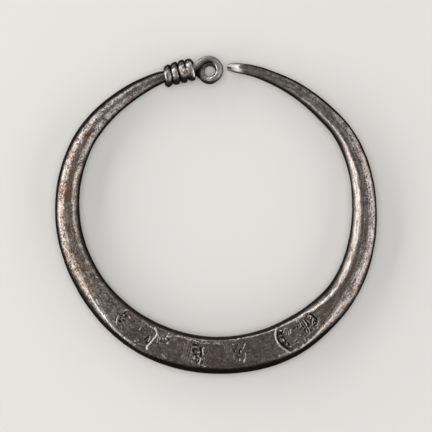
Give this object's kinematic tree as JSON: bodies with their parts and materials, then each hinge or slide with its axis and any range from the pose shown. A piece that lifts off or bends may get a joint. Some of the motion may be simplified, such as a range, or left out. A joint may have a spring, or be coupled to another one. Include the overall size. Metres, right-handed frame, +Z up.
{
  "type": "bracelet",
  "caption": "Open silver bracelet, broad and flat at the front with stamped ornament, tapering along faceted arms to a short hook and a coiled wire eye.",
  "frame": {"origin": "middle of the bracelet's box, on the surface it lies on", "axes": "+Z up out of the lying hoop, -Y towards its broad front, +X towards the arm that ends in the hook"},
  "size_m": [0.0754, 0.0744, 0.0056],
  "materials": {
    "tarnished_silver": "old hammered silver, grey-brown with tarnish on the flat faces and worn bright on the facets and edges"
  },
  "bodies": {
    "root": {"bracelet": "tarnished_silver"}
  },
  "joints": []
}
